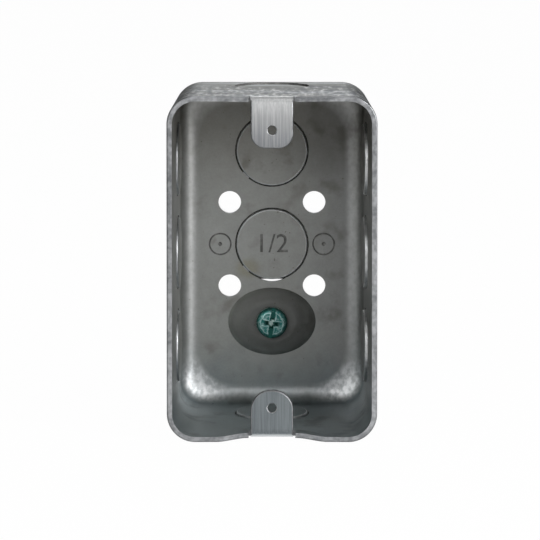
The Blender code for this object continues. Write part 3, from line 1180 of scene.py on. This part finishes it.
        bench.pick(Pick.EDGES, at_root)
        turn = RIGHT_ANGLE - ear.slack
        reach = ear.fold_radius * math.sin(turn) + ear.slack_radius * (1 - math.sin(turn))
        bench.move((0, reach, -ear.side * reach * math.tan(self.draft)))
        root = bench.first_picked()
        pivot = Vector((0, root.y, root.z - ear.side * ear.fold_radius))
        bench.turn(self.fold_steps, -ear.side * turn, pivot)
        bend = Vector((0, *bench.first_picked().yz))
        pivot = bend + (pivot - bend) * (ear.slack_radius / ear.fold_radius)
        bench.turn(self.slack_steps, -ear.side * ear.slack, pivot)
        tip = self.middle + ear.side * ear.tip_rise
        bench.draw_out((0, 0, tip - bench.first_picked().z))

    def press_pad(self, bench: Bench) -> None:
        """Presses the oval pad into the flat back.

        Args:
            bench: The body on the bench.
        """
        flat = self.high.y - TINY
        foot = Vector((0, self.high.y, self.middle - self.pad.below_centre))
        bench.pick(Pick.FACES, lambda face: face.calc_center_median().y > flat)
        bpy.ops.mesh.delete(type="FACE")
        bench.grow_rings(foot, self.pad.rings(), self.pad.points)
        bench.pick(Pick.EDGES, lambda edge: edge.is_boundary and all(v.co.y > flat for v in edge.verts))
        bpy.ops.mesh.fill()

    def thicken(self) -> None:
        """Gives the surface the thickness of the sheet and levels its rim."""
        slots = {"material_offset": Side.INSIDE.value, "material_offset_rim": Side.SHEARED.value}
        self.dress(self.body, Side.OUTSIDE)
        apply_modifier(self.body, "SOLIDIFY", thickness=self.sheet, offset=-1, use_even_offset=True, **slots)
        with Bench(self.body) as bench:
            bench.pick(Pick.POINTS, lambda v: v.co.y < self.low.y - TINY / 10)
            bench.scale((1, 0, 1), (0, self.low.y, 0))

    def round_ear_tips(self) -> None:
        """Rounds the two corners of each ear's tip."""
        for ear in self.ears:
            tip = self.middle + ear.side * ear.tip_rise

            def at_corner(edge: bmesh.types.BMEdge, tip: float = tip) -> bool:
                """Says whether an edge is one corner of this tip, through the sheet."""
                through = abs((edge.verts[0].co - edge.verts[1].co).y) > self.sheet / 2
                return through and all(abs(v.co.z - tip) < TINY for v in edge.verts)

            with Bench(self.body) as bench:
                bench.pick(Pick.EDGES, at_corner)
                bench.round_off(ear.tip_radius, self.corner_segments)

    def ease_rim(self) -> None:
        """Rounds the outside edge of the rim and the edges of the ears."""
        skins = {Side.OUTSIDE.value, Side.SHEARED.value}

        def at_front(edge: bmesh.types.BMEdge) -> bool:
            """Says whether an edge lies at the front, between the outside and the sheared edge."""
            near = all(v.co.y < self.low.y + self.rim_reach for v in edge.verts)
            return near and {face.material_index for face in edge.link_faces} == skins

        with Bench(self.body) as bench:
            bench.pick(Pick.EDGES, at_front)
            bench.round_off(self.rim_radius, self.rounding_segments, Side.ROLLED.value)

    def knockout_axes(self) -> list[Matrix]:
        """Gives the axes of each knockout: two in the back, one in each end and three in each side.

        Returns:
            The axes, the middle knockout's first.
        """
        lean = math.sin(self.draft)
        stand = math.cos(self.draft)
        far = self.depth - self.knockout_from_back
        taper = far * math.tan(self.draft)
        place_y = self.low.y + far
        axes = [self.back_axes(0, self.high.y, rise) for rise in (0.0, self.back_rise)]
        for side in (1, -1):
            spot = Vector((0, place_y, self.middle + side * (self.height / 2 - taper)))
            axes.append(wall_axes(spot, Vector((0, -lean, -side * stand)), TO_RIGHT))
            side_x = side * (self.width / 2 - taper)
            for row in (-1, 0, 1):
                spot = Vector((side_x, place_y, self.middle + row * self.side_pitch))
                axes.append(wall_axes(spot, Vector((-side * stand, -lean, 0)), UP))
        return axes

    def punch_holes(self) -> None:
        """Punches every round hole."""
        span = (-self.reach, self.sheet + self.reach)
        slits = []
        for axes in self.knockout_axes():
            slit = add_cylinder(self.knockout_diameter, *span, axes, self.knockout_segments)
            at_end = abs(axes.to_3x3().col[2].z) > FACING
            # The slits' walls are painted with shade, less dark in the end walls.
            slits.append(self.dress(slit, Side.MARK if at_end else Side.GROOVE))
        half = self.mount_pitch / 2
        pad_top = self.high.y - self.pad.rise
        holes = [(x, self.high.y, z, self.mount_diameter) for x in (-half, half) for z in (-half, half)]
        holes.append((0, pad_top, -self.pad.below_centre, self.screw_hole_diameter))
        for ear in self.ears:
            holes.append((0, self.low.y + self.sheet, ear.side * ear.hole_rise, ear.hole_diameter))
        sides = self.hole_segments
        punches = [add_cylinder(diameter, *span, self.back_axes(*spot), sides) for *spot, diameter in holes]
        rise = self.chink_radius - self.chink_width - self.knockout_diameter / 2
        chink = self.back_axes(0, self.high.y, rise)
        chink_punch = add_cylinder(2 * self.chink_radius, *span, chink, self.knockout_segments)
        combine(self.body, join(slits), Cut.REMOVE)
        for punch in (join(punches), chink_punch):
            combine(self.body, self.dress(punch, Side.SHEARED), Cut.REMOVE)

    def set_knockouts(self) -> None:
        """Puts each knockout's disc back in its hole, pushed in a little, on its tie."""
        diameter = self.knockout_diameter - 2 * self.knockout_slit
        start = diameter / 2 - self.tie_grip
        end = self.knockout_diameter / 2 + self.tie_grip
        top = self.sheet - self.tie_cover
        discs = []
        ties = []
        for axes in self.knockout_axes():
            inward = axes.to_3x3().col[2]
            push = self.right_push if inward.x < -FACING else self.knockout_push
            disc = add_cylinder(diameter, push, self.sheet + push, axes, self.knockout_segments)
            # The disc's edges and their rounding are pale bare steel with a painted highlight.
            self.dress(disc, Side.TORN)
            for face in disc.data.polygons:
                facing = face.normal.dot(inward)
                if abs(facing) > FACING:
                    face.material_index = (Side.INSIDE if facing > 0 else Side.OUTSIDE).value
            crown = (axes @ Vector((0, 0, self.sheet + push))).dot(inward) - TINY
            with Bench(disc) as bench:
                bench.pick(Pick.EDGES, lambda edge: all(v.co.dot(inward) > crown for v in edge.verts))
                bench.round_off(self.disc_radius, self.rounding_segments, Side.TORN.value)
            discs.append(disc)
            bottom = push + self.tie_cover
            size = (end - start, self.tie_width, top - bottom)
            middle = ((start + end) / 2, 0, (bottom + top) / 2)
            tie = add_block(size, middle, axes @ Matrix.Rotation(self.tie_angle, 4, "Z"))
            ties.append(self.dress(tie, Side.SHEARED))
        for solids in (discs, ties):
            combine(self.body, join(solids), Cut.ADD)

    def close_slits(self) -> None:
        """Closes the knockouts' slits within the sheet, but for a chink below the middle one."""
        diameter = self.knockout_diameter + 2 * self.web_grip
        span = (self.web_low, self.web_high)
        webs = [add_cylinder(diameter, *span, axes, self.knockout_segments) for axes in self.knockout_axes()]
        with Bench(webs[0]) as bench:
            bench.pick_all()
            bench.cut((0, 0, self.middle - self.chink_drop), (0, 0, -1), trim=True)
        # The webs are painted with shade, down in the slits.
        combine(self.body, self.dress(join(webs), Side.GROOVE), Cut.ADD)

    def stamp_marks(self) -> None:
        """Stamps the trade size into the middle knockout and a plain ring with a dot on either side."""
        back_face = self.high.y - self.sheet
        flat_on = {"rotation": (RIGHT_ANGLE, 0, 0)}
        slug_spot = (0, back_face - self.knockout_push, self.middle)
        words = add(bpy.ops.object.text_add, location=slug_spot, **flat_on)
        adjust(words.data, {"body": "1/2", "size": self.stamp_size, "extrude": self.stamp_depth})
        adjust(words.data, {"align_x": "CENTER", "align_y": "CENTER", "resolution_u": 6})
        take_up(words)
        bpy.ops.object.convert(target="MESH")
        with Bench(settle(words)) as bench:
            bench.pick_all()
            bpy.ops.mesh.remove_doubles(threshold=TINY / 10)
            bench.even_normals()
        stamps = [words]
        for place in (-self.ring_mark_place, self.ring_mark_place):
            spot = {"location": (place, back_face, self.middle)}
            radii = {"major_radius": self.ring_mark_radius, "minor_radius": self.ring_mark_line}
            fineness = {"major_segments": 64, "minor_segments": 12}
            ring = add(bpy.ops.mesh.primitive_torus_add, **spot, **flat_on, **radii, **fineness)
            fineness = {"segments": 24, "ring_count": 12}
            dot = add(bpy.ops.mesh.primitive_uv_sphere_add, radius=self.dot_mark_radius, **spot, **fineness)
            dot.location.y -= self.dot_mark_radius / 2
            stamps += [settle(ring), settle(dot)]
        # The stamped lines are painted with shade.
        combine(self.body, self.dress(join(stamps), Side.MARK), Cut.REMOVE)

    def tap_ears(self) -> None:
        """Cuts the thread of the device screws into the hole of each ear."""
        for ear in self.ears:
            start = Vector((0, self.low.y + ear.thread_start, self.middle + ear.side * ear.hole_rise))
            wall = ear.hole_diameter / 2
            radii = (wall + ear.thread_grip, wall - ear.thread_depth)
            ridge = wind_thread(start, *radii, ear.thread_pitch, self.sheet)
            # The thread ridges are pale steel with a painted highlight in the ear holes.
            join([self.body, self.dress(ridge, Side.TORN)])

    def build(self) -> Item:
        """Makes the whole box.

        Returns:
            The finished piece.
        """
        self.body = self.draw_cup()
        with Bench(self.body) as bench:
            for ear in self.ears:
                self.dish_end(bench, ear)
                self.fold_ear(bench, ear)
            self.press_pad(bench)
            bench.even_normals()
        self.thicken()
        self.round_ear_tips()
        self.ease_rim()
        self.punch_holes()
        self.set_knockouts()
        self.close_slits()
        self.stamp_marks()
        ease_edges(self.body, self.edge_radius, self.edge_angle)
        smooth(self.body)
        self.tap_ears()
        return self.body


# The ground screw


@dataclass
class GroundScrew:
    """The green ground screw: a turned head with a slot and a cross recess, and a threaded shank."""

    seat: Vector
    shank_diameter: float = 4.0 * MM
    shank_length: float = 6.2 * MM
    tip_chamfer: float = 0.7 * MM
    thread_diameter: float = 4.6 * MM
    thread_pitch: float = 0.794 * MM
    thread_grip: float = 0.1 * MM
    head_diameter: float = 9.4 * MM
    head_height: float = 2.9 * MM
    head_side: float = 0.9 * MM
    shoulder: float = 1.6 * MM
    crown: float = 0.3 * MM
    slot_width: float = 1.3 * MM
    slot_depth: float = 1.2 * MM
    recess_span: float = 4.6 * MM
    recess_foot: float = 1.6 * MM
    recess_width: float = 1.2 * MM
    recess_depth: float = 2.2 * MM
    overrun: float = 1.0 * MM
    drive_turn: float = math.radians(8)
    segments: int = 72
    shoulder_steps: int = 10
    edge_radius: float = 0.12 * MM
    edge_angle: float = math.radians(40)

    def rings(self) -> list[Ring]:
        """Gives the turned outline from the tip to the crown.

        Returns:
            The rings.
        """
        shank = self.shank_diameter / 2
        head = self.head_diameter / 2
        rim = self.head_height - self.crown
        outline = [
            (shank - self.tip_chamfer, -self.shank_length),
            (shank, self.tip_chamfer - self.shank_length),
            (shank, 0.0),
            (head, 0.0),
        ]
        for step in range(self.shoulder_steps + 1):
            angle = RIGHT_ANGLE * step / self.shoulder_steps
            radius = head - self.shoulder * (1 - math.cos(angle))
            outline.append((radius, self.head_side + (rim - self.head_side) * math.sin(angle)))
        for share in (0.75, 0.5, 0.25):
            radius = (head - self.shoulder) * share
            outline.append((radius, self.head_height - self.crown * share * share))
        return [Ring(radius, radius, height) for radius, height in outline]

    def turn_blank(self) -> Item:
        """Turns the screw's blank.

        Returns:
            The closed blank.
        """
        size = {"vertices": self.segments, "radius": self.shank_diameter}
        item = add(bpy.ops.mesh.primitive_circle_add, fill_type="NOTHING", **size)
        item.name = item.data.name = "green_ground_screw"
        with Bench(item) as bench:
            bench.pick_all()
            bpy.ops.mesh.delete(type="VERT")
            bench.grow_rings(self.seat, self.rings(), self.segments)
            bench.pick(Pick.EDGES, lambda edge: edge.is_boundary)
            bpy.ops.mesh.edge_face_add()
            bench.even_normals()
        return settle(item)

    def recess_wing(self, axes: Matrix) -> Item:
        """Makes one tapered wing of the cross recess as a cutter.

        Args:
            axes: Axes on the screw's seat, with z towards the viewer and x along the wing.

        Returns:
            The cutter.
        """
        foot = self.head_height - self.recess_depth
        rim = self.head_height - self.crown
        size = (self.recess_span, self.recess_width, rim - foot)
        wing = add_block(size, (0, 0, (foot + rim) / 2), Matrix.Identity(4))
        with Bench(wing) as bench:
            bench.pick(Pick.FACES, lambda face: face.normal.z < -FACING)
            bench.scale((self.recess_foot / self.recess_span, 1, 1), (0, 0, foot))
            bench.pick(Pick.FACES, lambda face: face.normal.z > FACING)
            bench.draw_out((0, 0, self.crown + self.overrun))
        wing.matrix_world = axes
        return settle(wing)

    def cut_drive(self, item: Item) -> None:
        """Cuts the slot and the cross recess into the head.

        Args:
            item: The screw.
        """
        face_on = wall_axes(self.seat, TO_FRONT, TO_RIGHT)
        turns = (self.drive_turn, RIGHT_ANGLE + self.drive_turn)
        level, upright = (face_on @ Matrix.Rotation(-turn, 4, "Z") for turn in turns)
        size = (self.head_diameter + 2 * self.overrun, self.slot_width, self.head_height)
        bottom = self.head_height - self.slot_depth
        combine(item, self.recess_wing(level), Cut.REMOVE)
        combine(item, self.recess_wing(upright), Cut.REMOVE)
        combine(item, add_block(size, (0, 0, bottom + self.head_height / 2), upright), Cut.REMOVE)

    def cut_thread(self) -> Item:
        """Winds the thread's ridge round the shank.

        Returns:
            The ridge as a closed coil.
        """
        start = self.seat + Vector((0, self.thread_grip, 0))
        root = self.shank_diameter / 2 - self.thread_grip
        length = self.shank_length - self.tip_chamfer
        return wind_thread(start, root, self.thread_diameter / 2, self.thread_pitch, length)

    def build(self, finish: Material) -> Item:
        """Makes the whole screw.

        Args:
            finish: Its material.

        Returns:
            The finished piece.
        """
        item = self.turn_blank()
        self.cut_drive(item)
        ease_edges(item, self.edge_radius, self.edge_angle)
        join([item, self.cut_thread()])
        smooth(paint(item, [finish]))
        return item


# The studio


def put(name: str, data: Any, place: Vector, turn: Any) -> Item:
    """Puts a lamp or the camera into the scene.

    Args:
        name: Its name.
        data: The lamp's or the camera's own data.
        place: Where it stands.
        turn: How it is turned.

    Returns:
        The new object.
    """
    item = bpy.data.objects.new(name, data)
    item.location = place
    item.rotation_euler = turn
    bpy.context.scene.collection.objects.link(item)
    return item


@dataclass(frozen=True)
class Lamp:
    """One softbox, placed by its direction from the box: degrees to the right of the front, and up."""

    name: str
    azimuth: float
    elevation: float
    power: float
    size: float = 0.22
    distance: float = 0.75

    def hang(self, target: Vector) -> None:
        """Hangs the softbox and aims it at the box.

        Args:
            target: The point that it faces.
        """
        data = bpy.data.lights.new(self.name, "AREA")
        adjust(data, {"shape": "SQUARE", "size": self.size, "energy": self.power})
        around = math.radians(self.azimuth)
        lift = math.radians(self.elevation)
        level = math.cos(lift)
        away = Vector((level * math.sin(around), -level * math.cos(around), math.sin(lift)))
        put(self.name, data, target + away * self.distance, (-away).to_track_quat("-Z", "Y").to_euler())


@dataclass
class Studio:
    """The pale floor, the lamps, the world and the camera."""

    target: Vector
    distance: float = 3.333
    elevation: float = math.radians(8.5)
    lens: float = 748.8
    sensor_width: float = 36.0
    view_end: float = 20.0
    aim_left: float = 0.58 * MM
    aim_down: float = 0.10 * MM
    floor_front: float = 0.35
    floor_back: float = 3.0
    floor_side: float = 1.2
    floor_tone: Tone = (0.85, 0.85, 0.85)
    floor_glow: float = 0.985
    floor_shine: float = 0.25
    ambient: float = 0.02
    lamps: tuple[Lamp, ...] = (
        Lamp("key_softbox", 48, 15, 3.9),
        Lamp("upper_softbox", 35, 30, 1.1),
        Lamp("left_softbox", -15, 22, 0.8),
        Lamp("upper_left_softbox", -35, 30, 0.6),
        Lamp("overhead_softbox", 0, 76, 1.0),
        Lamp("back_softbox", 180, 45, 1.0),
    )

    def set_camera(self) -> None:
        """Puts the camera at the photograph's viewing angle."""
        data = bpy.data.cameras.new("camera")
        adjust(data, {"lens": self.lens, "sensor_width": self.sensor_width, "clip_end": self.view_end})
        back = Vector((0, -math.cos(self.elevation), math.sin(self.elevation)))
        up = Vector((0, math.sin(self.elevation), math.cos(self.elevation)))
        aim = self.target - Vector((self.aim_left, 0, 0)) - up * self.aim_down
        turn = (RIGHT_ANGLE - self.elevation, 0, 0)
        bpy.context.scene.camera = put("camera", data, aim + back * self.distance, turn)

    def lay_floor(self) -> None:
        """Lays the pale floor under the box, bright to the camera but still holding its shadow."""
        floor = add(bpy.ops.mesh.primitive_plane_add, size=1)
        floor.name = floor.data.name = "floor"
        floor.scale = (2 * self.floor_side, self.floor_front + self.floor_back, 1)
        floor.location = (0, (self.floor_back - self.floor_front) / 2, 0)
        settle(floor)
        material = bpy.data.materials.new("pale_floor")
        material.use_nodes = True
        kit = NodeKit(material.node_tree)
        card = kit.node("ShaderNodeBsdfDiffuse", {}, {"Color": opaque(self.floor_tone)})
        glow = kit.node("ShaderNodeEmission", {}, {"Color": opaque(WHITE), "Strength": 1.0})
        share = kit.ray("Is Camera Ray") * self.floor_glow + kit.ray("Is Glossy Ray") * self.floor_shine
        kit.close("ShaderNodeOutputMaterial", kit.mix_shaders(share, card, glow))
        floor.data.materials.append(material)

    def set_world(self) -> None:
        """Makes the surroundings white to the camera and softly dim to the box."""
        world = bpy.data.worlds.new("studio")
        bpy.context.scene.world = world
        world.use_nodes = True
        kit = NodeKit(world.node_tree)
        dim, white = (
            kit.node("ShaderNodeBackground", {}, {"Color": opaque(WHITE), "Strength": strength})
            for strength in (self.ambient, 1.0)
        )
        kit.close("ShaderNodeOutputWorld", kit.mix_shaders(kit.ray("Is Camera Ray"), dim, white))

    def build(self) -> None:
        """Sets up the whole studio."""
        self.set_camera()
        self.lay_floor()
        self.set_world()
        for lamp in self.lamps:
            lamp.hang(self.target)
        bpy.context.scene.view_settings.view_transform = "Standard"


def mount(piece: Item, node: str) -> None:
    """Puts a finished piece in place of its CAD node.

    Args:
        piece: The piece.
        node: The CAD node that it stands for.
    """
    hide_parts(node)
    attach(piece, "root")
    LOG.info("%s: %d faces, in place of %s", piece.name, len(piece.data.polygons), node)


def main() -> None:
    """Builds the studio, the box and its screw, and mounts the two on the frame."""
    logging.basicConfig(level=logging.INFO, format="%(name)s: %(message)s")
    low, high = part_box("box_body")
    centre = (low + high) / 2
    Studio(Vector((centre.x, low.y, centre.z))).build()

    finishes = (
        OuterFinish("galvanised_outside", low, high),
        InnerFinish("galvanised_inside", low, high),
        ShearedFinish("trimmed_edge", (0.56, 0.57, 0.585), (0.27, 0.28, 0.29)),
        # Painted shade for the slits and their webs, then for the stamped lines and the end walls' slits.
        GrooveFinish("painted_groove_shade", (0.045, 0.045, 0.04), (0.16, 0.16, 0.15)),
        GrooveFinish("stamped_line", (0.17, 0.17, 0.165), (0.31, 0.31, 0.30)),
        # Pale sheared steel with a painted highlight, darker to the left as painted shade.
        ShearedFinish("torn_edge_glint", (0.97, 0.98, 0.98), (0.66, 0.67, 0.68), (0.55, 0.56, 0.57)),
        ShearedFinish("rolled_edge", (0.36, 0.37, 0.38), (0.20, 0.205, 0.21)),
    )
    box = DrawnBox(low, high, [finish.material() for finish in finishes])
    mount(box.build(), "box_body")

    screw_low, screw_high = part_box("ground_screw")
    seat = Vector((0, screw_low.y + GroundScrew.head_height, (screw_low.z + screw_high.z) / 2))
    screw = GroundScrew(seat)
    crown = seat - Vector((0, screw.head_height, 0))
    plating = ScrewFinish(crown, screw.drive_turn)
    mount(screw.build(plating.material()), "ground_screw")


if __name__ == "__main__":
    main()
